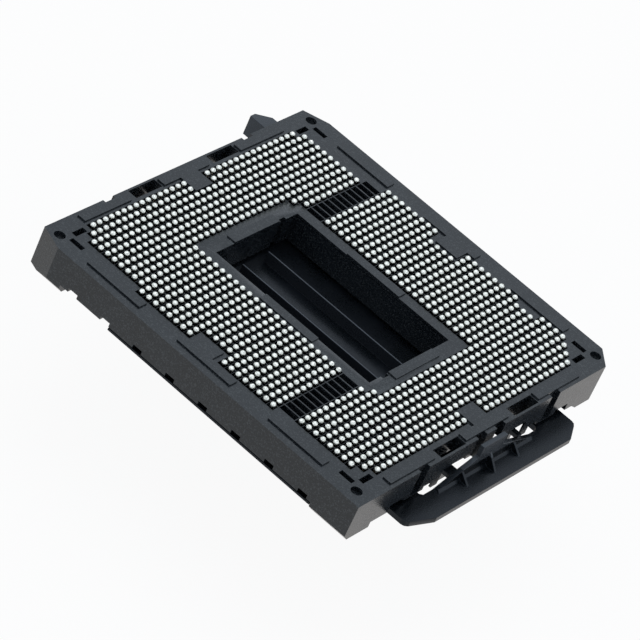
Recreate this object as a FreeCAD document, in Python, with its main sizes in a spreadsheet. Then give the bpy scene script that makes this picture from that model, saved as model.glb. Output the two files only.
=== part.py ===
"""Land grid socket for a processor, stored with its solder side up and its pick and place cap fitted.

Row frame: +Z up, millimetres, origin under the housing's centre on the plane of its four corner feet.
+X points to the side where the cap's handle stands out, and -X to the side with the cap's pointed tab.
The housing is one moulding with two L-shaped fields of contacts round a central opening. Each contact
carries a solder ball on its foot and reaches down through the housing to its tip in the package recess.
"""
import FreeCAD, Part
import os
import Sketcher

V = FreeCAD.Vector
doc = FreeCAD.newDocument("cpu_socket")
sheet = doc.addObject("Spreadsheet::Sheet", "Sizes")

SIZES = {
    # heights above the plane of the corner feet
    "deck_height": 4.5,
    "seat_height": 2.65,
    "low_edge": 0.65,
    "high_edge": 1.12,
    "standoff_rise": 0.16,
    "field_depth": 0.3,
    # plan of the housing, measured out from the field of contacts
    "end_margin": 2.33,
    "side_margin": 2.94,
    "wall": 2.35,
    "end_cut_long": 2.85,
    "end_cut_short": 1.1,
    "key_chamfer": 1.9,
    "frame_gap_end": 0.64,
    "frame_gap_side": 0.24,
    "cavity_frame": 1.1,
    "cavity_wall": 0.75,
    "cavity_notch": 0.9,
    "cavity_notch_depth": 0.3,
    "cavity_notch_place": 4.15,
    # feet at the corners
    "foot_front": 4.0,
    "foot_back": 5.4,
    "foot_end": 4.6,
    "foot_width": 2.3,
    "foot_slope": 1.0,
    # recesses in the deck
    "pin_recess_radius": 0.6,
    "pin_recess_depth": 0.5,
    "pin_recess_inset": 1.6,
    "pocket_long": 1.65,
    "pocket_short": 0.62,
    "pocket_depth": 1.2,
    "pocket_along": 17.83,
    "pocket_beside": 17.4,
    "pocket_far": 18.98,
    "latch_pocket_long": 3.95,
    "latch_pocket_short": 1.15,
    "latch_skin": 0.24,
    "latch_spacing": 12.0,
    "vent_length": 1.95,
    "vent_width": 0.76,
    "vent_depth": 1.2,
    # standoff pads
    "pad_length": 7.0,
    "pad_spacing": 12.0,
    "side_pad_width": 1.15,
    "side_pad_margin": 1.05,
    "side_pad_shift": 0.1,
    "side_stem_width": 2.85,
    "side_stem_length": 1.8,
    "side_stem_shift": 1.2,
    "end_pad_width": 1.0,
    "end_pad_margin": 0.45,
    "end_pad_shift": -0.27,
    "end_stem_width": 2.6,
    "end_stem_length": 2.25,
    # side grooves, recess and notches
    "groove_width": 1.45,
    "groove_depth": 0.55,
    "groove_place": 10.75,
    "groove_floor": 1.25,
    "mid_recess": 4.44,
    "mid_tongue": 1.6,
    "castle_pitch": 4.35,
    "castle_width": 1.15,
    "castle_top": 1.55,
    "castle_shift": 0.22,
    "arm_notch_inner": 1.8,
    "arm_notch_outer": 6.8,
    "tooth_end": 7.8,
    "tooth_relief": 0.5,
    "side_notch_end": 9.35,
    "foot_notch_start": 12.4,
    "foot_notch_end": 14.6,
    # contacts and balls
    "pitch": 0.9144,
    "ball_radius": 0.3,
    "ball_height": 4.85,
    "field_shift_x": -0.1,
    "field_shift_y": -0.05,
    "section_shift_x": 0.253,
    "section_shift_y": -0.064,
    "ring_half": 0.24,
    "ring_drop": 0.05,
    "tip_reach": 0.32,
    "tip_height": 1.9,
    # pick and place cap
    "cap_top": 0.72,
    "cap_thickness": 0.64,
    "cap_clearance": 0.05,
    "cap_play": 0.2,
    "cap_lip": 1.1,
    "cap_lip_thickness": 0.27,
    "cap_length_left": 10.25,
    "cap_length_right": 16.4,
    "cap_inset": 0.35,
    "cap_waist_gap": 0.85,
    "handle_reach": 3.1,
    "handle_half": 13.98,
    "handle_corner_front": 3.4,
    "handle_corner": 1.65,
    "handle_corner_back": 2.3,
    "handle_gap": 0.3,
    "window_half": 9.6,
    "window_width": 2.0,
    "upright": 0.5,
    "post_half": 1.95,
    "post_height": 3.9,
    "gable_height": 2.6,
    "gable_half": 7.95,
    "upright_fillet": 0.25,
    "gusset": 0.3,
    "gusset_shift": 0.15,
    "gusset_spacing": 4.25,
    "gusset_mid": 1.35,
    "gusset_end": 1.1,
    "gusset_top": 2.3,
    "gusset_low_top": 1.7,
    "arm_front_near": 4.35,
    "arm_front_far": 5.8,
    "arm_back_near": 5.45,
    "arm_back_far": 6.1,
    "arm_thickness": 0.8,
    "arm_height": 2.8,
    "bar_base": 1.2,
    "bar_top": 1.7,
    "nose": 0.15,
    "stiffener": 0.15,
    "stiffener_spacing": 4.1,
    "stiffener_height": 2.0,
    "stiffener_length": 18.6,
    "tab_near": 15.2,
    "tab_width": 2.1,
    "tab_top": 3.4,
    "tab_bevel": 1.35,
    "tab_reach": 2.75,
    "tab_foot_rise": 0.9,
    "tab_foot_run": 0.7,
    "neck_width": 2.2,
    "neck_overlap": 0.55,
}
for row, (name, number) in enumerate(SIZES.items(), start=1):
    sheet.set(f"A{row}", name)
    sheet.set(f"B{row}", str(number))
    sheet.setAlias(f"B{row}", name)
doc.recompute()


class Size:
    """A length with its number and the sheet expression that gives it."""

    def __init__(self, value, text):
        self.value = value
        self.text = text

    @staticmethod
    def wrap(other):
        return other if isinstance(other, Size) else Size(float(other), f"{other} mm")

    def __add__(self, other):
        other = Size.wrap(other)
        return Size(self.value + other.value, f"({self.text} + {other.text})")

    def __sub__(self, other):
        other = Size.wrap(other)
        return Size(self.value - other.value, f"({self.text} - {other.text})")

    def __mul__(self, factor):
        return Size(self.value * factor, f"({self.text} * {factor})")

    __rmul__ = __mul__

    def __neg__(self):
        return self * -1


def size(name):
    """The sheet's value of this name, as a length."""
    return Size(float(sheet.get(name)), f"{sheet.Name}.{name} * 1 mm")


S = {name: size(name) for name in SIZES}
ZERO = Size(0.0, "0 mm")


def plane(body, role):
    return next(feature for feature in body.Origin.OriginFeatures if feature.Role == role)


def sketch(body, name, loops, role="XY_Plane", offset=ZERO):
    """A sketch of closed loops, each a list of corners (across, up), with both places of every corner bound."""
    drawing = body.newObject("Sketcher::SketchObject", name)
    drawing.AttachmentSupport = [(plane(body, role), "")]
    drawing.MapMode = "FlatFace"
    drawing.setExpression(".AttachmentOffset.Base.z", offset.text)
    for loop in loops:
        first = drawing.GeometryCount
        count = len(loop)
        points = [V(across.value, up.value, 0) for across, up in loop]
        drawing.addGeometry([Part.LineSegment(points[i], points[(i + 1) % count]) for i in range(count)], False)
        for i, (across, up) in enumerate(loop):
            line = first + i
            after = first + (i + 1) % count
            drawing.addConstraint(Sketcher.Constraint("Coincident", line, 2, after, 1))
            for kind, place in (("DistanceX", across), ("DistanceY", up)):
                number = drawing.addConstraint(Sketcher.Constraint(kind, -1, 1, line, 1, place.value))
                drawing.setExpression(f"Constraints[{number}]", place.text)
    drawing.Visibility = False
    return drawing


def pad(body, name, loops, length, base=ZERO, role="XY_Plane", backwards=False):
    feature = body.newObject("PartDesign::Pad", name)
    feature.Profile = sketch(body, name + "_sketch", loops, role, base)
    feature.setExpression("Length", length.text)
    feature.Reversed = backwards
    doc.recompute()
    return feature


def pocket(body, name, loops, depth, base=ZERO, role="XY_Plane", upwards=False):
    """Cuts down from the sketch's plane, or up from it."""
    before = body.Shape.Volume
    feature = body.newObject("PartDesign::Pocket", name)
    feature.Profile = sketch(body, name + "_sketch", loops, role, base)
    feature.setExpression("Length", depth.text)
    feature.Reversed = upwards
    doc.recompute()
    if body.Shape.Volume >= before:
        raise RuntimeError(f"{name} cuts nothing")
    return feature


def rect(x_low, x_high, y_low, y_high):
    return [(x_low, y_low), (x_high, y_low), (x_high, y_high), (x_low, y_high)]


def flip(loop, across=1, up=1):
    """The loop mirrored in one or both axes."""
    return [(x * across, y * up) for x, y in loop]


def four(loop):
    """The loop and its mirror images in both axes."""
    return [flip(loop, across, up) for across in (1, -1) for up in (1, -1)]


# The contacts stand on a grid: rows run along Y and are numbered along X, columns are numbered along Y.
LAST_ROW = 41
LAST_COLUMN = 40
INNER_ROWS = 13.0
INNER_COLUMNS = 8.5
FIELD_X = S["pitch"] * (LAST_ROW / 2) + S["section_shift_x"] * 0.5
FIELD_Y = S["pitch"] * (LAST_COLUMN / 2) + S["section_shift_y"] * 0.5

# main planes of the housing
HALF_X = FIELD_X + S["end_margin"]
HALF_Y = FIELD_Y + S["side_margin"]
INNER_X = HALF_X - S["wall"]
INNER_Y = HALF_Y - S["wall"]
FRAME_X = S["pitch"] * INNER_ROWS + S["section_shift_x"] * 0.5 - S["frame_gap_end"]
FRAME_Y = S["pitch"] * INNER_COLUMNS - S["frame_gap_side"]
CAVITY_X = FRAME_X - S["cavity_frame"]
CAVITY_Y = FRAME_Y - S["cavity_frame"]
WALL_X = CAVITY_X + S["cavity_wall"]
WALL_Y = CAVITY_Y + S["cavity_wall"]
DECK = S["deck_height"]
FLOOR = DECK - S["field_depth"]
LATCH_OUT = HALF_X - S["latch_skin"]
LATCH_IN = LATCH_OUT - S["latch_pocket_short"]
NECK_FAR = S["tab_near"] + S["neck_overlap"]
CAP_TOP = S["cap_top"]
CAP_BASE = CAP_TOP - S["cap_thickness"]


def housing_outline():
    """Square with oblique cuts at both -X corners, a key chamfer at +X +Y and a plain corner at +X -Y."""
    cut_x = HALF_X - S["end_cut_long"]
    cut_y = HALF_Y - S["end_cut_short"]
    return [
        (-cut_x, -HALF_Y), (HALF_X, -HALF_Y), (HALF_X, HALF_Y - S["key_chamfer"]),
        (HALF_X - S["key_chamfer"], HALF_Y), (-cut_x, HALF_Y), (-HALF_X, cut_y), (-HALF_X, -cut_y),
    ]


def feet():
    """L-shaped feet under the four corners, each with the housing's outline at its corner."""
    end = HALF_X - S["foot_end"]
    inner_x = HALF_X - S["foot_width"]
    inner_y = HALF_Y - S["foot_width"]

    def foot(side, corner):
        return [(end, HALF_Y), (end, inner_y), (inner_x, inner_y), (inner_x, side), (HALF_X, side)] + corner

    front = HALF_Y - S["foot_front"]
    back = HALF_Y - S["foot_back"]
    plain = [(HALF_X, HALF_Y)]
    keyed = [(HALF_X, HALF_Y - S["key_chamfer"]), (HALF_X - S["key_chamfer"], HALF_Y)]
    cut = [(HALF_X, HALF_Y - S["end_cut_short"]), (HALF_X - S["end_cut_long"], HALF_Y)]
    return [
        flip(foot(front, plain), 1, -1), foot(back, keyed),
        flip(foot(front, cut), -1, -1), flip(foot(back, cut), -1, 1),
    ]


def standoffs():
    """Three pads along each side of the deck, the middle ones with a stem towards the contacts."""
    loops = []
    half = S["pad_length"] * 0.5
    out_y = HALF_Y - S["side_pad_margin"]
    in_y = out_y - S["side_pad_width"]
    out_x = HALF_X - S["end_pad_margin"]
    in_x = out_x - S["end_pad_width"]
    for side in (1, -1):
        for step in (-1, 1):
            middle = S["side_pad_shift"] + S["pad_spacing"] * step
            loops.append(flip(rect(middle - half, middle + half, in_y, out_y), 1, side))
            middle = S["end_pad_shift"] + S["pad_spacing"] * step
            loops.append(flip(rect(in_x, out_x, middle - half, middle + half), side, 1))
        middle = S["side_pad_shift"]
        root = S["side_stem_shift"] * side
        stem = S["side_stem_width"] * 0.5
        tip = in_y - S["side_stem_length"]
        loops.append(flip([
            (middle - half, in_y), (root - stem, in_y), (root - stem, tip), (root + stem, tip),
            (root + stem, in_y), (middle + half, in_y), (middle + half, out_y), (middle - half, out_y),
        ], 1, side))
        middle = S["end_pad_shift"]
        stem = S["end_stem_width"] * 0.5
        tip = in_x - S["end_stem_length"]
        loops.append(flip([
            (in_x, middle - half), (out_x, middle - half), (out_x, middle + half), (in_x, middle + half),
            (in_x, stem), (tip, stem), (tip, -stem), (in_x, -stem),
        ], side, 1))
    return loops


def frame_pads():
    """Four low pads on the frame round the central opening."""
    half = S["pad_length"] * 0.5
    loops = []
    for side in (1, -1):
        loops.append(flip(rect(-half, half, CAVITY_Y, FRAME_Y), 1, side))
        loops.append(flip(rect(CAVITY_X, FRAME_X, -half, half), side, 1))
    return loops


def deck_pockets():
    """Two small pockets beside each corner, one along each side."""
    long_half = S["pocket_long"] * 0.5
    short_half = S["pocket_short"] * 0.5
    near_x, near_y, far = S["pocket_along"], S["pocket_beside"], S["pocket_far"]
    along = rect(near_x - long_half, near_x + long_half, far - short_half, far + short_half)
    beside = rect(far - short_half, far + short_half, near_y - long_half, near_y + long_half)
    return four(along) + four(beside)


def side_castles():
    """Notches in the lower edge of the two plain walls, evenly spaced."""
    half = S["castle_width"] * 0.5
    loops = []
    for step in range(8):
        middle = S["castle_shift"] + S["castle_pitch"] * (step - 3.5)
        for side in (1, -1):
            loops.append(flip(rect(middle - half, middle + half, INNER_Y, HALF_Y), 1, side))
    return loops


def end_wall_parts(low, high):
    """The parts of the end walls between two distances from the middle, on both sides of it."""
    return four(rect(INNER_X, HALF_X, low, high))


def make_housing():
    body = doc.addObject("PartDesign::Body", "housing_moulding")
    pad(body, "walls", [housing_outline()], DECK - S["low_edge"], S["low_edge"])
    pad(body, "feet", feet(), S["low_edge"])
    edge = S["low_edge"]
    back = HALF_Y - S["foot_back"]
    pocket(body, "foot_bevels", [
        [(HALF_Y, ZERO), (HALF_Y, edge), (HALF_Y - edge, ZERO)],
        [(-HALF_Y, ZERO), (-HALF_Y + edge, ZERO), (-HALF_Y, edge)],
        [(back, ZERO), (back + S["foot_slope"], ZERO), (back, edge)],
    ], HALF_X * 2, -HALF_X, role="YZ_Plane", upwards=True)
    pocket(body, "package_recess", [
        rect(-INNER_X, INNER_X, -INNER_Y, INNER_Y), rect(-WALL_X, WALL_X, -WALL_Y, WALL_Y),
    ], S["seat_height"], upwards=True)
    pocket(body, "frame_foot", [rect(-WALL_X, WALL_X, -WALL_Y, WALL_Y)], S["high_edge"], upwards=True)
    left = S["foot_end"] - HALF_X
    right = S["cap_length_right"] + S["cap_play"]
    pocket(body, "plain_edge", [
        flip(rect(left, right, INNER_Y, HALF_Y), 1, side) for side in (1, -1)
    ], S["high_edge"], upwards=True)
    end_edge = S["handle_half"] + S["cap_play"]
    tooth_low, tooth_high = S["arm_notch_outer"], S["tooth_end"]
    pocket(body, "end_edge", [
        rect(INNER_X, HALF_X, -tooth_low, tooth_low), rect(INNER_X, HALF_X, tooth_high, end_edge),
        rect(INNER_X, HALF_X, -end_edge, -tooth_high),
        rect(-HALF_X, -INNER_X, -end_edge, NECK_FAR + S["cap_clearance"]),
    ], S["high_edge"], upwards=True)
    relief = INNER_X + S["tooth_relief"]
    pocket(body, "tooth_reliefs", [
        rect(INNER_X, relief, tooth_low, tooth_high), rect(INNER_X, relief, -tooth_high, -tooth_low),
    ], S["high_edge"], upwards=True)
    pocket(body, "castles", side_castles(), S["castle_top"], upwards=True)
    pocket(body, "arm_notches", end_wall_parts(S["arm_notch_inner"], S["arm_notch_outer"]),
           S["seat_height"], upwards=True)
    notches = end_wall_parts(tooth_high, S["side_notch_end"])
    notches += end_wall_parts(S["foot_notch_start"], S["foot_notch_end"])
    pocket(body, "side_notches", notches, S["castle_top"], upwards=True)
    groove_low = S["groove_place"] - S["groove_width"] * 0.5
    groove_high = S["groove_place"] + S["groove_width"] * 0.5
    groove_in = HALF_X - S["groove_depth"]
    pocket(body, "grooves", four(rect(groove_in, HALF_X, groove_low, groove_high)),
           DECK - S["groove_floor"], DECK)
    recess_half = S["mid_recess"] * 0.5
    tongue_half = S["mid_tongue"] * 0.5
    pocket(body, "handle_recess", [
        rect(groove_in, HALF_X, tongue_half, recess_half), rect(groove_in, HALF_X, -recess_half, -tongue_half),
    ], DECK, DECK)
    notch_low = S["cavity_notch_place"] - S["cavity_notch"] * 0.5
    notch_high = S["cavity_notch_place"] + S["cavity_notch"] * 0.5
    notch_x = CAVITY_X + S["cavity_notch_depth"]
    pocket(body, "central_opening", [[
        (-CAVITY_X, -CAVITY_Y), (CAVITY_X, -CAVITY_Y), (CAVITY_X, -notch_high), (notch_x, -notch_high),
        (notch_x, -notch_low), (CAVITY_X, -notch_low), (CAVITY_X, CAVITY_Y), (-CAVITY_X, CAVITY_Y),
        (-CAVITY_X, notch_high), (-notch_x, notch_high), (-notch_x, notch_low), (-CAVITY_X, notch_low),
    ]], DECK, DECK)
    pad(body, "standoffs", standoffs(), S["standoff_rise"], DECK)
    pad(body, "frame_pads", frame_pads(), S["standoff_rise"], DECK)
    pocket(body, "corner_pockets", deck_pockets(), S["pocket_depth"], DECK)
    latch_low = (S["latch_spacing"] - S["latch_pocket_long"]) * 0.5
    latch_high = (S["latch_spacing"] + S["latch_pocket_long"]) * 0.5
    pocket(body, "latch_pockets", four(rect(LATCH_IN, LATCH_OUT, latch_low, latch_high)), DECK, DECK)
    return body


# Rows of contacts: first row, last row, first column, last column. Section A is the L at -X, B the one at +X.
SECTION_A = [
    (0, 0, 3, 18), (0, 0, 22, 37), (1, 1, 2, 18), (1, 1, 22, 38), (2, 7, 1, 38), (8, 8, 1, 11), (8, 8, 28, 38),
    (9, 9, 1, 11), (9, 9, 29, 38), (10, 17, 0, 11), (18, 21, 2, 11), (22, 29, 0, 11),
]
SECTION_B = [
    (12, 19, 29, 40), (20, 23, 29, 38), (24, 31, 29, 40), (32, 32, 1, 11), (32, 32, 29, 39), (33, 33, 1, 12),
    (33, 33, 29, 39), (34, 34, 1, 39), (35, 38, 1, 40), (39, 39, 1, 39), (40, 40, 2, 18), (40, 40, 22, 38),
    (41, 41, 3, 18), (41, 41, 22, 37),
]
ROWS_A_NODE = 2


def runs(section):
    """Each run of contacts in one row, as (row, first column, last column)."""
    blocks = {"a": SECTION_A, "b": SECTION_B}[section]
    return [(row, first, last) for low, high, first, last in blocks for row in range(low, high + 1)]


def place(section, row, column):
    """Centre of a contact: the grid of section B is set off from that of section A by a part of the pitch."""
    x = row * S["pitch"].value - FIELD_X.value + S["field_shift_x"].value
    y = column * S["pitch"].value - FIELD_Y.value + S["field_shift_y"].value
    if section == "b":
        x += S["section_shift_x"].value
        y += S["section_shift_y"].value
    return x, y


def lean(section):
    """Contacts of the two sections lean towards each other's side."""
    return 1 if section == "a" else -1


def contact_solid():
    """One contact with its ball: a faceted ball over a blade that leans over and narrows to its tip."""
    half = S["ring_half"].value
    height = S["ball_height"].value - S["ring_drop"].value
    top = V(0, 0, S["ball_height"].value + S["ball_radius"].value)
    tip = V(S["tip_reach"].value, 0, S["tip_height"].value)
    ring = [V(x, y, height) for x, y in ((half, half), (-half, half), (-half, -half), (half, -half))]
    faces = []
    for i in range(4):
        one, two = ring[i], ring[(i + 1) % 4]
        faces.append(Part.Face(Part.makePolygon([one, two, top, one])))
        faces.append(Part.Face(Part.makePolygon([two, one, tip, two])))
    return Part.Solid(Part.Shell(faces))


def blade_edges(height):
    """Both faces of a contact across its slot at a height, measured from the ball's centre."""
    half = S["ring_half"].value
    ring = S["ball_height"].value - S["ring_drop"].value
    share = (ring - height) / (ring - S["tip_height"].value)
    return -half + (S["tip_reach"].value + half) * share, half + (S["tip_reach"].value - half) * share


def field_tools():
    """Per run of contacts: its part of the shallow field, and the slot that grips its blades."""
    pitch = S["pitch"].value
    seat = S["seat_height"].value
    floor = FLOOR.value
    above = DECK.value + S["standoff_rise"].value
    half = S["ring_half"].value
    left = blade_edges(floor)[0]
    right = max(blade_edges(floor)[1], blade_edges(seat)[1])
    tools = []
    for section in "ab":
        low, high = (left, right) if lean(section) > 0 else (-right, -left)
        for row, first, last in runs(section):
            x, y = place(section, row, first)
            length = (last - first) * pitch
            tools.append(Part.makeBox(pitch, length + pitch, above - floor,
                                      V(x - pitch / 2, y - pitch / 2, floor)))
            tools.append(Part.makeBox(high - low, length + 2 * half, floor - seat,
                                      V(x + low, y - half, seat)))
    return tools


def vent_tools():
    """Eleven short slots beside each end of the central opening, midway between the two sections."""
    length, width, depth = (S[name].value for name in ("vent_length", "vent_width", "vent_depth"))
    tools = []
    for section, row_a, row_b, first in (("b", 9, 12, 29), ("a", 29, 32, 1)):
        x = (place("a", row_a, 0)[0] + place("b", row_b, 0)[0]) / 2
        for column in range(first, first + 11):
            y = place(section, 0, column)[1]
            tools.append(Part.makeBox(length, width, depth, V(x - length / 2, y - width / 2, DECK.value - depth)))
    return tools


def recess_tools():
    """A round recess in each corner of the deck."""
    inset = S["pin_recess_inset"].value
    depth = S["pin_recess_depth"].value
    return [
        Part.makeCylinder(S["pin_recess_radius"].value, depth,
                          V(side_x * (HALF_X.value - inset), side_y * (HALF_Y.value - inset), DECK.value - depth))
        for side_x in (1, -1) for side_y in (1, -1)
    ]


def contact_nodes():
    """Two rows of contacts to a node, so that each section has fifteen nodes."""
    master = contact_solid()
    mirrored = master.mirror(V(0, 0, 0), V(1, 0, 0))
    nodes = []
    for section in "ab":
        base = master if lean(section) > 0 else mirrored
        rows = [row for row, _, _ in runs(section)]
        for number, start in enumerate(range(min(rows), max(rows) + 1, ROWS_A_NODE), start=1):
            places = [
                V(*place(section, row, column), 0)
                for row, first, last in runs(section) if start <= row < start + ROWS_A_NODE
                for column in range(first, last + 1)
            ]
            node = doc.addObject("Part::Feature", f"contacts_{section}_{number:02d}")
            node.Shape = Part.makeCompound([base.translated(spot) for spot in places])
            nodes.append(node)
    return nodes


# rounding at the handle's corners: steps in from its outer edge and its side, as shares of one size
CORNER = [(0.62, 0.27), (0.78, 0.07), (1.0, 0.0)]


def cap_outline():
    """Cap plate: wide in the middle, narrow between the feet, with the handle beyond the housing at +X."""
    reach = HALF_X + S["handle_reach"]
    wide = HALF_Y - S["cap_inset"]
    waist_x = INNER_X - S["cap_waist_gap"]
    waist_y = INNER_Y - S["cap_waist_gap"]
    half = S["handle_half"]
    right, left = S["cap_length_right"], S["cap_length_left"]
    sides = []
    for corner in (S["handle_corner_back"], S["handle_corner_front"]):
        steps = [(ZERO, corner)] + [(S["handle_corner"] * across, S["handle_corner"] * up) for across, up in CORNER]
        sides.append([(reach - across, half - up) for across, up in steps] + [
            (waist_x, half), (waist_x, waist_y), (right, waist_y), (right, wide),
            (-left, wide), (-left, waist_y), (-INNER_X + S["cap_play"], waist_y),
        ])
    back, front = sides
    return back + [(x, -y) for x, y in reversed(front)]


def make_cap():
    body = doc.addObject("PartDesign::Body", "cap_moulding")
    pad(body, "plate", [cap_outline()], S["cap_thickness"], CAP_BASE)
    lip = S["cap_lip"]
    wide = HALF_Y - S["cap_inset"]
    pocket(body, "lips", [
        flip(rect(-S["cap_length_left"], S["cap_length_right"], wide - lip, wide), 1, side) for side in (1, -1)
    ], S["cap_thickness"] - S["cap_lip_thickness"], CAP_BASE, upwards=True)
    back = HALF_X + S["handle_gap"]
    front = back + S["upright"]
    window = S["window_half"]
    corner = S["handle_gap"]
    window_in = HALF_X - S["window_width"]
    pocket(body, "handle_window", [[
        (window_in, -window), (HALF_X, -window), (back, -window + corner), (back, window - corner),
        (HALF_X, window), (window_in, window),
    ]], S["cap_thickness"], CAP_TOP)
    post = S["post_half"]
    gable = S["gable_half"]
    pad(body, "upright_wall", [[
        (-gable, CAP_BASE), (gable, CAP_BASE), (gable, CAP_TOP), (post, S["gable_height"]),
        (post, S["post_height"]), (-post, S["post_height"]), (-post, S["gable_height"]), (-gable, CAP_TOP),
    ]], S["upright"], back, role="YZ_Plane")
    leg = S["upright_fillet"]
    pad(body, "upright_fillet", [[
        (front - leg, CAP_BASE), (front + leg, CAP_BASE), (front + leg, CAP_TOP), (front, CAP_TOP + leg),
        (front - leg, CAP_TOP + leg),
    ]], (gable - leg) * 2, leg - gable, role="XZ_Plane")
    half = S["gusset"] * 0.5
    for step in (-1, 0, 1):
        length = S["gusset_end"] if step else S["gusset_mid"]
        top = S["gusset_low_top"] if step else S["gusset_top"]
        middle = S["gusset_spacing"] * -step - S["gusset_shift"]
        pad(body, f"gusset_{step + 2}", [[
            (front - half, CAP_BASE), (front + length, CAP_BASE), (front + length, CAP_TOP), (front, top),
            (front - half, top),
        ]], S["gusset"], middle - half, role="XZ_Plane")
    place_y = S["stiffener_spacing"] * 0.5
    thin = S["stiffener"] * 0.5
    long_half = S["stiffener_length"] * 0.5
    pad(body, "stiffeners", [
        rect(-long_half, long_half, side * place_y - thin, side * place_y + thin) for side in (1, -1)
    ], S["stiffener_height"] - CAP_TOP, CAP_TOP)
    nose = S["nose"]
    play = (S["latch_pocket_short"] - S["arm_thickness"] - nose) * 0.5
    arm_out = LATCH_OUT - play - nose
    arm_in = arm_out - S["arm_thickness"]
    top = S["arm_height"]
    hook = [
        (arm_out, top - nose * 4), (arm_out + nose, top - nose * 2), (arm_out + nose, top - nose),
        (arm_out, top), (arm_in, top),
    ]
    root = INNER_X - S["cap_waist_gap"]
    foot = [(arm_in, CAP_TOP), (root, CAP_TOP), (root, CAP_BASE), (arm_out, CAP_BASE)]
    handle_arm = hook + foot + [
        (arm_out, S["bar_base"]), (back + half, S["bar_base"]), (back + half, S["bar_top"]),
        (arm_out, S["bar_top"]),
    ]
    plate_arm = flip(hook + foot, -1, 1)
    # the sketch plane faces -Y, so the arms in front start at a distance and those behind at its negative
    for name, start, width in (
        ("front", S["arm_front_near"], S["arm_front_far"] - S["arm_front_near"]),
        ("back", -S["arm_back_far"], S["arm_back_far"] - S["arm_back_near"]),
    ):
        pad(body, f"handle_arm_{name}", [handle_arm], width, start, role="XZ_Plane")
        pad(body, f"plate_arm_{name}", [plate_arm], width, start, role="XZ_Plane")
    tab_root = HALF_X + S["cap_play"]
    near = S["tab_near"]
    far = near + S["tab_width"]
    reach = HALF_X + S["tab_reach"]
    bevel = S["tab_bevel"]
    pad(body, "tab_neck", [rect(-tab_root - S["upright"], -root, NECK_FAR - S["neck_width"], NECK_FAR)],
        S["cap_thickness"], CAP_BASE)
    pad(body, "tab", [[
        (-reach, near), (-tab_root, near), (-tab_root, far), (-reach + bevel, far), (-reach, far - bevel),
    ]], S["tab_top"] - CAP_BASE, CAP_BASE)
    run, rise = S["tab_foot_run"], S["tab_foot_rise"]
    pocket(body, "tab_foot", [[
        (-reach, CAP_BASE), (-reach + run + rise * 0.5, CAP_BASE), (-reach + run, CAP_BASE + rise),
        (-reach, CAP_BASE + rise),
    ]], S["tab_width"], -far, role="XZ_Plane", upwards=True)
    return body


def check_document():
    doc.recompute()
    for item in doc.Objects:
        if "Invalid" in item.State or "Error" in item.State:
            raise RuntimeError(f"{item.Label}: {item.State}")


moulding = make_housing()
pattern = doc.addObject("Part::Feature", "deck_pattern")
tool_shapes = field_tools() + vent_tools() + recess_tools()
pattern.Shape = tool_shapes[0].multiFuse(tool_shapes[1:]).removeSplitter()
housing = doc.addObject("Part::Cut", "housing_cut")
housing.Base = moulding
housing.Tool = pattern
housing.Label = "housing"
cap = make_cap()
cap.Label = "pick_and_place_cap"
contacts = contact_nodes()
check_document()

SUBPARTS = [housing, cap] + contacts
for part in SUBPARTS:
    part.Placement = FreeCAD.Placement()
    if part.Shape.isNull() or not part.Shape.isValid():
        raise RuntimeError(f"{part.Label}: no valid shape")

os.makedirs("parts", exist_ok=True)
for part in SUBPARTS:
    part.Shape.exportStep(f"parts/{part.Label}.step")
    print(part.Label, len(part.Shape.Solids), round(part.Shape.Volume, 3))
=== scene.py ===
"""Looks of a land grid processor socket, lying solder side up with its placement cap fitted below.

Lengths are metres in the row frame: +X (across) towards the cap's handle, +Y (along) towards the back and
+Z up out of the solder side.
"""
import math

import bmesh
import bpy
import numpy as np
from mathutils import Matrix, Vector


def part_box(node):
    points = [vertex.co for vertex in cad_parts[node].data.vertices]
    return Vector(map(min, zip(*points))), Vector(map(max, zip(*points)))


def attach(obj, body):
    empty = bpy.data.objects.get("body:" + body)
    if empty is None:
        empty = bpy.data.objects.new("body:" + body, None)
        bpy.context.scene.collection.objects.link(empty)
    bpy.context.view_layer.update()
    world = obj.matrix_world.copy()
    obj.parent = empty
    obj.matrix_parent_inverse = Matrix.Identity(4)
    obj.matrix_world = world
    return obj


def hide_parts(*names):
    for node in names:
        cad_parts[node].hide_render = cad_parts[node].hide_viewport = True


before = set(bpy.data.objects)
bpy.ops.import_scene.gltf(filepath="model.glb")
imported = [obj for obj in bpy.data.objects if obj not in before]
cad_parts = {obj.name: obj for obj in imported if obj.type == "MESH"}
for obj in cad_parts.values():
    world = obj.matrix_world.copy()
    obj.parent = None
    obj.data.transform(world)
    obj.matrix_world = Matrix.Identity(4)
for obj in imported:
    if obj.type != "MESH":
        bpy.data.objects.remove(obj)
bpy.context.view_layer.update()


MM = 0.001
SOCKET = "socket"
CAP = "cap"

# contacts: their spacing, and their lowest and highest points in the frame
PITCH = 0.9144 * MM
TIP_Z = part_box("contacts_a_01")[0].z
CAD_BALL_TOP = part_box("contacts_a_01")[1].z
SAME_SPOT = 0.01 * MM

# solder balls: rounder than the frame's, and set where the photograph has them
BALL_RADIUS = 0.325 * MM
BALL_SEATING = 0.175 * MM
BALL_SIDE_SHIFT = 0.05 * MM
BALL_Z = CAD_BALL_TOP - BALL_RADIUS - BALL_SEATING
BALL_SEGMENTS = 10
BALL_RINGS = 6

# blades of the contact springs
ROOT_SHARE = 0.8
BLADE_ROOT_Z = BALL_Z - ROOT_SHARE * BALL_RADIUS
BLADE_REACH = 0.3 * MM
BLADE_BEND = 1.4
BLADE_HALF_THICKNESS = 0.045 * MM
BLADE_ROOT_HALF_WIDTH = 0.2 * MM
BLADE_TIP_HALF_WIDTH = 0.1 * MM
BLADE_STEPS = 6

# contact fields of the housing, and the thin walls between their pockets
DECK_Z = 4.5 * MM
FIELD_Z = 4.2 * MM
FIELD_REACH = 19.5 * MM
FIELD_SLACK = 0.02 * MM
WALL_ACROSS = 0.04 * MM
WALL_ALONG = 0.12 * MM

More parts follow.
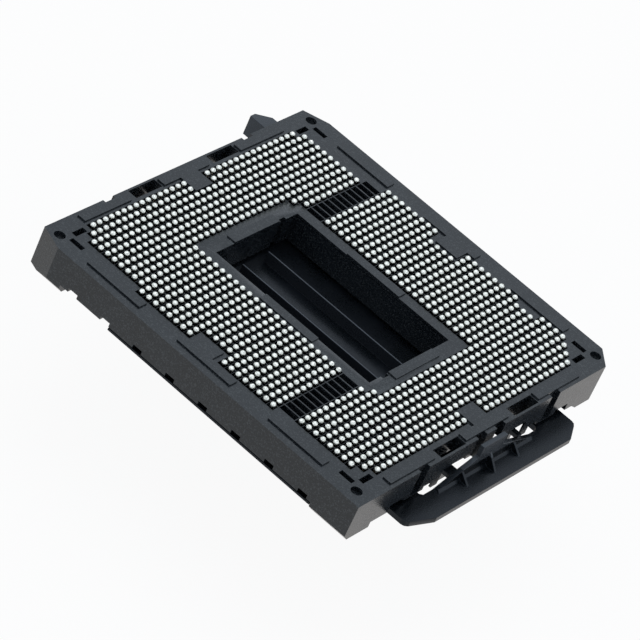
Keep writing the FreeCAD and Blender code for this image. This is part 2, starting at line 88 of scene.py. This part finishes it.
# zones of the cap
BODY_REACH = 21.3 * MM
UPRIGHT_SHADE_TOP = 1.9 * MM
ARM_INNER = 18.0 * MM
ARM_SHADE_FOOT = 2.05 * MM
RIB_FOOT = 0.76 * MM
RIB_TOP = 2.0 * MM
RIB_REACH = 9.35 * MM
RIB_SLACK = 0.03 * MM

# rounding of the mouldings' edges
SOFT_EDGE = 0.045 * MM
SOFT_EDGE_SEGMENTS = 2
SHARP_ANGLE = math.radians(25)
FLAT_ANGLE = math.radians(0.5)
MERGE_DISTANCE = 0.0005 * MM

# lumps and depths of the finishes
FLOW_MARK = 5.0 * MM
GRAIN = 0.15 * MM
GRAIN_DEPTH = 0.014 * MM
GLASS_SPECKLE = 0.17 * MM
SPECKLE_RELIEF = 0.5
CRYSTAL = 0.14 * MM
CRYSTAL_DEPTH = 0.035 * MM
SOLDER_BATCH = 1.3 * MM
ROLLING_MARK = 0.2 * MM

# heights between which a ball's painted shade lifts and a blade fades into painted shade
BALL_SHADE_LOW = BALL_Z - 0.1 * MM
BALL_SHADE_HIGH = BALL_Z + 0.2 * MM
BLADE_SHADE_LOW = 2.9 * MM
BLADE_SHADE_HIGH = 4.0 * MM

# the photograph's camera, found from the rows of balls
EYE = Vector((139.370, -300.016, 245.571)) * MM
RIGHT = Vector((0.717721, 0.608928, 0.337762))
UP = Vector((-0.608098, 0.311785, 0.730073))
FORWARD = Vector((-0.339253, 0.729381, -0.594063))
FOCAL_PIXELS = 4218.8
FRAME_PIXELS = 640
SENSOR_MM = 36.0
CLIP_NEAR = 0.01
CLIP_FAR = 20.0

# floor, low enough for the pulled cap, and light
FLOOR_Z = -15.0 * MM
FLOOR_REACH = 4.0
FLOOR_GLOW = 0.93
ROOM_LIGHT = 0.65
LAMP_PLACE = Vector((-0.15, 0.1, 0.6))
LAMP_WIDTH = 0.5
LAMP_DEPTH = 0.4
LAMP_WATTS = 0.7
LAMP_TONE = (0.86, 0.94, 1.0)

# a Mix node's sockets for colours
MIX_SHARE, MIX_LOW, MIX_HIGH = 0, 6, 7
MIX_RESULT = 2


def rgb(red, green, blue):
    return (red, green, blue, 1.0)


WHITE = rgb(1.0, 1.0, 1.0)
PAPER = rgb(0.93, 0.93, 0.93)
FLOOR_GLOSS_TONE = rgb(1.0, 0.97, 0.95)
ROOM_TONE = rgb(0.93, 1.0, 1.09)
SLATE_SHEEN = rgb(0.9, 0.95, 0.97)
CAP_SHEEN = rgb(0.36, 0.42, 0.5)
PLASTIC_IOR = 1.46
SPECKLE_TONE = rgb(0.06, 0.066, 0.07)
# painted shade, for places that lie in deep shade
DEEP_SHADE = rgb(0.002, 0.002, 0.002)
# painted light on the cap's tab and upright top
CAP_PAINTED_LIGHT = rgb(0.045, 0.05, 0.056)
# painted light on the cap's stiffeners, and a painted highlight on their top edges
RIB_PAINTED_LIGHT = rgb(0.018, 0.021, 0.026)
RIB_EDGE_PAINTED_HIGHLIGHT = rgb(0.065, 0.072, 0.083)
SOLDER_DULL = rgb(0.55, 0.56, 0.51)
SOLDER_BRIGHT = rgb(0.98, 0.98, 0.91)
# painted shade at the balls' feet
SOLDER_SHADE = rgb(0.16, 0.16, 0.13)
SOLDER_ROUGHNESS = 0.26
GOLD_DARK = rgb(0.80, 0.56, 0.22)
GOLD_LIGHT = rgb(0.90, 0.68, 0.32)
# painted shade, for the blades up in their slots
GOLD_SHADE = rgb(0.01, 0.01, 0.01)
GOLD_ROUGHNESS = 0.24


class Value:
    """A node's output, with the usual operators; each adds a Math node."""

    def __init__(self, finish, socket):
        self.finish = finish
        self.socket = socket

    def _math(self, operation, other):
        return self.finish.node("ShaderNodeMath", {"operation": operation}, {0: self, 1: other})

    def __add__(self, other):
        return self._math("ADD", other)

    def __mul__(self, other):
        return self._math("MULTIPLY", other)

    def __lt__(self, other):
        return self._math("LESS_THAN", other)

    def __gt__(self, other):
        return self._math("GREATER_THAN", other)

    __radd__ = __add__
    __rmul__ = __mul__

    def between(self, low, high):
        """One where this value lies between low and high, and nought elsewhere."""
        return (self > low) * (self < high)

    def smooth(self, low, high, start=0.0, end=1.0):
        """Runs smoothly from start to end while this value runs from low to high."""
        return self.finish.node(
            "ShaderNodeMapRange", {"interpolation_type": "SMOOTHSTEP"},
            {"Value": self, "From Min": low, "From Max": high, "To Min": start, "To Max": end},
        )


class Finish:
    """The nodes of a material or world in the making: one method adds any node, sets it, and sets or links
    its inputs."""

    def __init__(self, owner):
        owner.use_nodes = True
        self.owner = owner
        self.tree = owner.node_tree
        self.tree.nodes.clear()

    def node(self, kind, settings=None, inputs=None, output=0):
        made = self.tree.nodes.new(kind)
        for key, setting in (settings or {}).items():
            setattr(made, key, setting)
        for key, given in (inputs or {}).items():
            if isinstance(given, Value):
                self.tree.links.new(given.socket, made.inputs[key])
            else:
                made.inputs[key].default_value = given
        return Value(self, made.outputs[output]) if made.outputs else None

    def place(self):
        """Object coordinates in metres."""
        return self.node("ShaderNodeTexCoord", output="Object")

    def axes(self):
        """Across, along and up, each by itself."""
        place = self.place()
        return [self.node("ShaderNodeSeparateXYZ", {}, {"Vector": place}, output=axis) for axis in "XYZ"]

    def ray(self, kind):
        """One for rays of this kind and nought for the others."""
        return self.node("ShaderNodeLightPath", output=kind)

    def noise(self, size, detail, roughness):
        """Cloudy noise between 0 and 1 whose lumps are about this size across, in metres."""
        return self.node("ShaderNodeTexNoise", {}, {
            "Vector": self.place(), "Scale": 1.0 / size, "Detail": detail, "Roughness": roughness,
        })

    def mix(self, share, low, high):
        """From colour low to colour high as share runs from 0 to 1."""
        return self.node(
            "ShaderNodeMix", {"data_type": "RGBA"}, {MIX_SHARE: share, MIX_LOW: low, MIX_HIGH: high},
            output=MIX_RESULT,
        )

    def bump(self, height, strength, depth):
        return self.node("ShaderNodeBump", {}, {"Height": height, "Strength": strength, "Distance": depth})

    def surface(self, **inputs):
        """Ends a material with one shader, whose inputs are named with _ for each blank."""
        named = {key.replace("_", " "): given for key, given in inputs.items()}
        shader = self.node("ShaderNodeBsdfPrincipled", {}, named)
        self.node("ShaderNodeOutputMaterial", {}, {"Surface": shader})
        return self.owner


def moulded_plastic(name, dark, light, sheen, base_roughness, speckle_share, grain_strength, painted_light=None):
    """Glass-filled moulding compound: cloudy flow marks, spark-eroded grain and a fine glass speckle.

    The last argument takes the finish and its colour so far. It gives the colour with light and shade
    painted onto the piece, and the share of it that has no pale gloss.
    """
    f = Finish(bpy.data.materials.new(name))
    clouds = f.noise(FLOW_MARK, detail=3.0, roughness=0.55)
    grain = f.noise(GRAIN, detail=2.0, roughness=0.65)
    speckle = f.noise(GLASS_SPECKLE, detail=1.0, roughness=0.4)
    colour = f.mix(clouds.smooth(0.35, 0.7), dark, light)
    colour = f.mix(speckle.smooth(0.5, 0.72, end=speckle_share), colour, SPECKLE_TONE)
    gloss_free = 0.0
    # light and shade painted onto the piece, and no pale gloss where shade is painted black
    if painted_light:
        colour, gloss_free = painted_light(f, colour)
    roughness = base_roughness + clouds.smooth(0.3, 0.75, start=-0.04, end=0.06)
    roughness = roughness + grain.smooth(0.3, 0.7, start=-0.03, end=0.05)
    normal = f.bump(grain + speckle * SPECKLE_RELIEF, strength=grain_strength, depth=GRAIN_DEPTH)
    return f.surface(
        Base_Color=colour, Roughness=roughness, Normal=normal, Metallic=gloss_free, IOR=PLASTIC_IOR,
        Specular_Tint=sheen,
    )


def painted_field_shade(f, colour):
    """Painted shade: where the contact fields' floor lies in shade it is coloured black, and made a black
    metal there so that it has no pale gloss.
    """
    across, along, up = f.axes()
    inside = across.between(-FIELD_REACH, FIELD_REACH) * along.between(-FIELD_REACH, FIELD_REACH)
    # painted shade on the field's floor
    deep = up.between(FIELD_Z - FIELD_SLACK, FIELD_Z + FIELD_SLACK) * inside
    return f.mix(deep, colour, DEEP_SHADE), deep


def painted_cap_light_and_shade(f, colour):
    """Painted light and shade on the cap: its stiffeners, tab and upright are painted paler, as they catch
    more light than its plate, with a painted highlight on the stiffeners' top edges. Its arms, which lie in
    shade inside the latch pockets, are painted black."""
    across, _, up = f.axes()
    # painted light on the tab and the upright's top
    tab_and_upright = (across < -BODY_REACH) + (across > BODY_REACH) * (up > UPRIGHT_SHADE_TOP)
    colour = f.mix(tab_and_upright, colour, CAP_PAINTED_LIGHT)
    # painted light on the stiffeners and a painted highlight on their top edges
    rib = across.between(-RIB_REACH, RIB_REACH) * up.between(RIB_FOOT, RIB_TOP + RIB_SLACK)
    colour = f.mix(rib, colour, RIB_PAINTED_LIGHT)
    colour = f.mix(rib * (up > RIB_TOP - RIB_SLACK), colour, RIB_EDGE_PAINTED_HIGHLIGHT)
    # painted shade on the arms inside the latch pockets
    in_pockets = across.between(ARM_INNER, BODY_REACH) + across.between(-BODY_REACH, -ARM_INNER)
    arms = in_pockets * (up > ARM_SHADE_FOOT)
    return f.mix(arms, colour, DEEP_SHADE), arms


def housing_compound():
    return moulded_plastic(
        "housing_plastic", dark=rgb(0.006, 0.008, 0.0105), light=rgb(0.009, 0.0115, 0.0145),
        sheen=SLATE_SHEEN, base_roughness=0.22, speckle_share=0.5, grain_strength=0.8,
        painted_light=painted_field_shade,
    )


def web_compound():
    """The housing's plastic on the thin walls between pockets: a little paler, and without speckle."""
    return moulded_plastic(
        "web_plastic", dark=rgb(0.016, 0.018, 0.021), light=rgb(0.024, 0.026, 0.03),
        sheen=SLATE_SHEEN, base_roughness=0.3, speckle_share=0.0, grain_strength=0.3,
    )


def cap_compound():
    return moulded_plastic(
        "cap_plastic", dark=rgb(0.002, 0.003, 0.004), light=rgb(0.004, 0.005, 0.007),
        sheen=CAP_SHEEN, base_roughness=0.28, speckle_share=0.08, grain_strength=0.5, painted_light=painted_cap_light_and_shade,
    )


def solder():
    """Tin-silver solder: bright metal with a crystalline, dimpled skin, and painted shade towards the
    ball's foot.
    """
    f = Finish(bpy.data.materials.new("solder"))
    crystals = f.noise(CRYSTAL, detail=2.0, roughness=0.55)
    batch = f.noise(SOLDER_BATCH, detail=0.0, roughness=0.5)
    up = f.axes()[-1]
    colour = f.mix(crystals.smooth(0.38, 0.6), SOLDER_DULL, SOLDER_BRIGHT)
    # painted shade towards the ball's foot, down in its pocket
    colour = f.mix(up.smooth(BALL_SHADE_LOW, BALL_SHADE_HIGH, start=0.7, end=0.0), colour, SOLDER_SHADE)
    roughness = SOLDER_ROUGHNESS + crystals.smooth(0.35, 0.7, end=0.12)
    roughness = roughness + batch.smooth(0.35, 0.65, start=-0.05, end=0.06)
    normal = f.bump(crystals, strength=0.9, depth=CRYSTAL_DEPTH)
    return f.surface(Base_Color=colour, Roughness=roughness, Normal=normal, Metallic=1.0)


def gold_plate():
    """Gold flash on a stamped copper alloy spring, with painted shade where it runs up into its slot."""
    f = Finish(bpy.data.materials.new("gold_plate"))
    rolled = f.noise(ROLLING_MARK, detail=2.0, roughness=0.5)
    up = f.axes()[-1]
    colour = f.mix(rolled.smooth(0.3, 0.7), GOLD_DARK, GOLD_LIGHT)
    # painted shade up in the slot
    colour = f.mix(up.smooth(BLADE_SHADE_LOW, BLADE_SHADE_HIGH), colour, GOLD_SHADE)
    roughness = GOLD_ROUGHNESS + rolled.smooth(0.3, 0.7, end=0.1)
    return f.surface(Base_Color=colour, Roughness=roughness, Metallic=1.0)


def put_in_scene(name, data):
    made = bpy.data.objects.new(name, data)
    bpy.context.scene.collection.objects.link(made)
    return made


def repeated(name, shape, centres, material, smooth=False):
    """The same small shape at every centre: its points plus each centre, and its faces' corners counted on
    by the shape's number of points each time."""
    points, faces = shape
    spots = np.column_stack([centres, np.zeros(len(centres))])
    all_points = (points[None, :, :] + spots[:, None, :]).reshape(-1, 3)
    starts = [len(points) * i for i in range(len(centres))]
    all_faces = [[start + corner for corner in face] for start in starts for face in faces]
    mesh = bpy.data.meshes.new(name)
    mesh.from_pydata(all_points.tolist(), [], all_faces)
    mesh.polygons.foreach_set("use_smooth", [smooth] * len(mesh.polygons))
    mesh.materials.append(material)
    return put_in_scene(name, mesh)


def band(first, second, count):
    """Four-cornered faces between two closed rings of points, given each ring's first index."""
    turns = [(j, (j + 1) % count) for j in range(count)]
    return [(first + j, second + j, second + k, first + k) for j, k in turns]


def contact_nodes(section):
    return [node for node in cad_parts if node.startswith(f"contacts_{section}_")]


def contact_centres(section):
    """Across and along of every contact of a section: the top points of its solids in the frame."""
    points = np.concatenate([
        [vertex.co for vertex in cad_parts[node].data.vertices] for node in contact_nodes(section)
    ])
    tops = points[points[:, 2] > CAD_BALL_TOP - SAME_SPOT][:, :2]
    return np.unique(np.round(tops / SAME_SPOT).astype(int), axis=0) * SAME_SPOT


def ball_shape():
    """A sphere set a little to one side: with the polar angle u in equal steps between two poles and the
    turn v in equal steps round, across = sin u * cos v, along = sin u * sin v and up = cos u, each times
    the radius."""
    u = np.pi * np.arange(1, BALL_RINGS) / BALL_RINGS
    v = 2 * np.pi * np.arange(BALL_SEGMENTS) / BALL_SEGMENTS
    rings = np.stack([
        np.outer(np.sin(u), np.cos(v)),
        np.outer(np.sin(u), np.sin(v)),
        np.outer(np.cos(u), np.ones_like(v)),
    ], axis=-1).reshape(-1, 3)
    points = np.vstack([[0, 0, 1], rings, [0, 0, -1]]) * BALL_RADIUS
    points += (BALL_SIDE_SHIFT, BALL_SIDE_SHIFT, BALL_Z)
    starts = [1 + ring * BALL_SEGMENTS for ring in range(BALL_RINGS - 1)]
    top, bottom = 0, len(points) - 1
    turns = [(j, (j + 1) % BALL_SEGMENTS) for j in range(BALL_SEGMENTS)]
    faces = [(top, starts[0] + j, starts[0] + k) for j, k in turns]
    for upper, lower in zip(starts, starts[1:]):
        faces += band(upper, lower, BALL_SEGMENTS)
    faces += [(starts[-1] + j, bottom, starts[-1] + k) for j, k in turns]
    return points, faces


def blade_shape(lean):
    """A contact spring: a thin strip whose middle line curves from under the ball over to the tip.

    With t from 0 at the ball to 1 at the tip, across = lean * reach * t to the power of the bend, up falls
    evenly, and the half width narrows evenly.
    """
    t = np.linspace(0.0, 1.0, BLADE_STEPS)
    across = lean * BLADE_REACH * t ** BLADE_BEND
    up = BLADE_ROOT_Z + (TIP_Z - BLADE_ROOT_Z) * t
    half_width = BLADE_ROOT_HALF_WIDTH + (BLADE_TIP_HALF_WIDTH - BLADE_ROOT_HALF_WIDTH) * t
    corners = ((-1, -1), (1, -1), (1, 1), (-1, 1))
    points = np.stack([
        np.column_stack([across + side_x * BLADE_HALF_THICKNESS, side_y * half_width, up])
        for side_x, side_y in corners
    ], axis=1).reshape(-1, 3)
    starts = [len(corners) * step for step in range(BLADE_STEPS)]
    root = tuple(range(len(corners)))
    faces = [root]
    for upper, lower in zip(starts, starts[1:]):
        faces += band(upper, lower, len(corners))
    faces.append(tuple(starts[-1] + corner for corner in reversed(root)))
    return points, faces


def web_shape():
    """Walls round one contact's pocket, from the field's floor to the deck. Outside they are one pitch
    square. Inside, each is set in by half of the thickness that it has together with its neighbour."""
    outer = np.array([PITCH, PITCH]) / 2
    inner = outer - np.array([WALL_ACROSS, WALL_ALONG]) / 2
    square = np.array([(1, 1), (-1, 1), (-1, -1), (1, -1)], float)
    points = np.vstack([
        np.column_stack([square * half, np.full(len(square), height)])
        for height in (DECK_Z, FIELD_Z) for half in (outer, inner)
    ])
    top_outer, top_inner, foot_outer, foot_inner = (len(square) * ring for ring in range(4))
    section = (top_outer, foot_outer, foot_inner, top_inner, top_outer)
    faces = []
    for first, second in zip(section, section[1:]):
        faces += band(first, second, len(square))
    return points, faces


def softened(node, name, material, body):
    """A copy of a moulding with its sharp edges rounded; its flat faces are joined up first."""
    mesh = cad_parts[node].data.copy()
    mesh.name = name
    work = bmesh.new()
    work.from_mesh(mesh)
    bmesh.ops.remove_doubles(work, verts=work.verts, dist=MERGE_DISTANCE)
    bmesh.ops.dissolve_limit(work, angle_limit=FLAT_ANGLE, verts=work.verts, edges=work.edges)
    work.to_mesh(mesh)
    work.free()
    mesh.materials.clear()
    mesh.materials.append(material)
    piece = put_in_scene(name, mesh)
    edge = piece.modifiers.new("soft_edges", "BEVEL")
    edge.width = SOFT_EDGE
    edge.segments = SOFT_EDGE_SEGMENTS
    edge.limit_method = "ANGLE"
    edge.angle_limit = SHARP_ANGLE
    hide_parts(node)
    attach(piece, body)


def ground():
    """White paper floor: it takes shadow, and reads white to the camera and a little warm in gloss."""
    mesh = bpy.data.meshes.new("ground")
    corners = [(-FLOOR_REACH, -FLOOR_REACH, 0), (FLOOR_REACH, -FLOOR_REACH, 0),
               (FLOOR_REACH, FLOOR_REACH, 0), (-FLOOR_REACH, FLOOR_REACH, 0)]
    mesh.from_pydata(corners, [], [(0, 1, 2, 3)])
    f = Finish(bpy.data.materials.new("white_paper"))
    at_camera = f.ray("Is Camera Ray")
    seen = at_camera + f.ray("Is Glossy Ray") + f.ray("Is Transmission Ray")
    paper = f.node("ShaderNodeBsdfDiffuse", {}, {"Color": PAPER})
    tone = f.mix(at_camera, FLOOR_GLOSS_TONE, WHITE)
    white = f.node("ShaderNodeEmission", {}, {"Color": tone, "Strength": 1.0})
    shader = f.node("ShaderNodeMixShader", {}, {0: seen * FLOOR_GLOW, 1: paper, 2: white})
    f.node("ShaderNodeOutputMaterial", {}, {"Surface": shader})
    mesh.materials.append(f.owner)
    floor = put_in_scene("ground", mesh)
    floor.location.z = FLOOR_Z


def white_room():
    """An even white world: plain white to the camera, a little cool to the object, and weaker as light than
    as gloss."""
    world = bpy.data.worlds.new("white_room")
    f = Finish(world)
    at_camera = f.ray("Is Camera Ray")
    seen = at_camera + f.ray("Is Glossy Ray")
    tone = f.mix(at_camera, ROOM_TONE, WHITE)
    strength = seen.smooth(0.0, 1.0, start=ROOM_LIGHT, end=1.0)
    back = f.node("ShaderNodeBackground", {}, {"Color": tone, "Strength": strength})
    f.node("ShaderNodeOutputWorld", {}, {"Surface": back})
    bpy.context.scene.world = world


def soft_box():
    """One broad lamp above, aimed at the middle of the object."""
    lamp = bpy.data.lights.new("soft_box", "AREA")
    lamp.shape = "RECTANGLE"
    lamp.size = LAMP_WIDTH
    lamp.size_y = LAMP_DEPTH
    lamp.energy = LAMP_WATTS
    lamp.color = LAMP_TONE
    place = put_in_scene("soft_box", lamp)
    place.location = LAMP_PLACE
    place.rotation_euler = (-LAMP_PLACE).to_track_quat("-Z", "Y").to_euler()


def photographers_camera():
    data = bpy.data.cameras.new("camera")
    data.sensor_width = SENSOR_MM
    data.sensor_fit = "HORIZONTAL"
    data.lens = FOCAL_PIXELS / FRAME_PIXELS * SENSOR_MM
    data.clip_start = CLIP_NEAR
    data.clip_end = CLIP_FAR
    camera = put_in_scene("camera", data)
    turn = Matrix((RIGHT, UP, -FORWARD)).transposed()
    camera.matrix_world = Matrix.Translation(EYE) @ turn.to_4x4()
    bpy.context.scene.camera = camera


softened("housing", "housing_body", housing_compound(), SOCKET)
softened("pick_and_place_cap", "cap_body", cap_compound(), CAP)

solder_metal = solder()
contact_gold = gold_plate()
web_plastic = web_compound()
for section, lean in (("a", 1), ("b", -1)):
    centres = contact_centres(section)
    balls = repeated(f"solder_balls_{section}", ball_shape(), centres, solder_metal, smooth=True)
    blades = repeated(f"contact_blades_{section}", blade_shape(lean), centres, contact_gold)
    webs = repeated(f"pocket_webs_{section}", web_shape(), centres, web_plastic)
    for piece in (balls, blades):
        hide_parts(*contact_nodes(section))
        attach(piece, SOCKET)
    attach(webs, SOCKET)

ground()
white_room()
soft_box()
photographers_camera()
bpy.context.scene.view_settings.view_transform = "Standard"
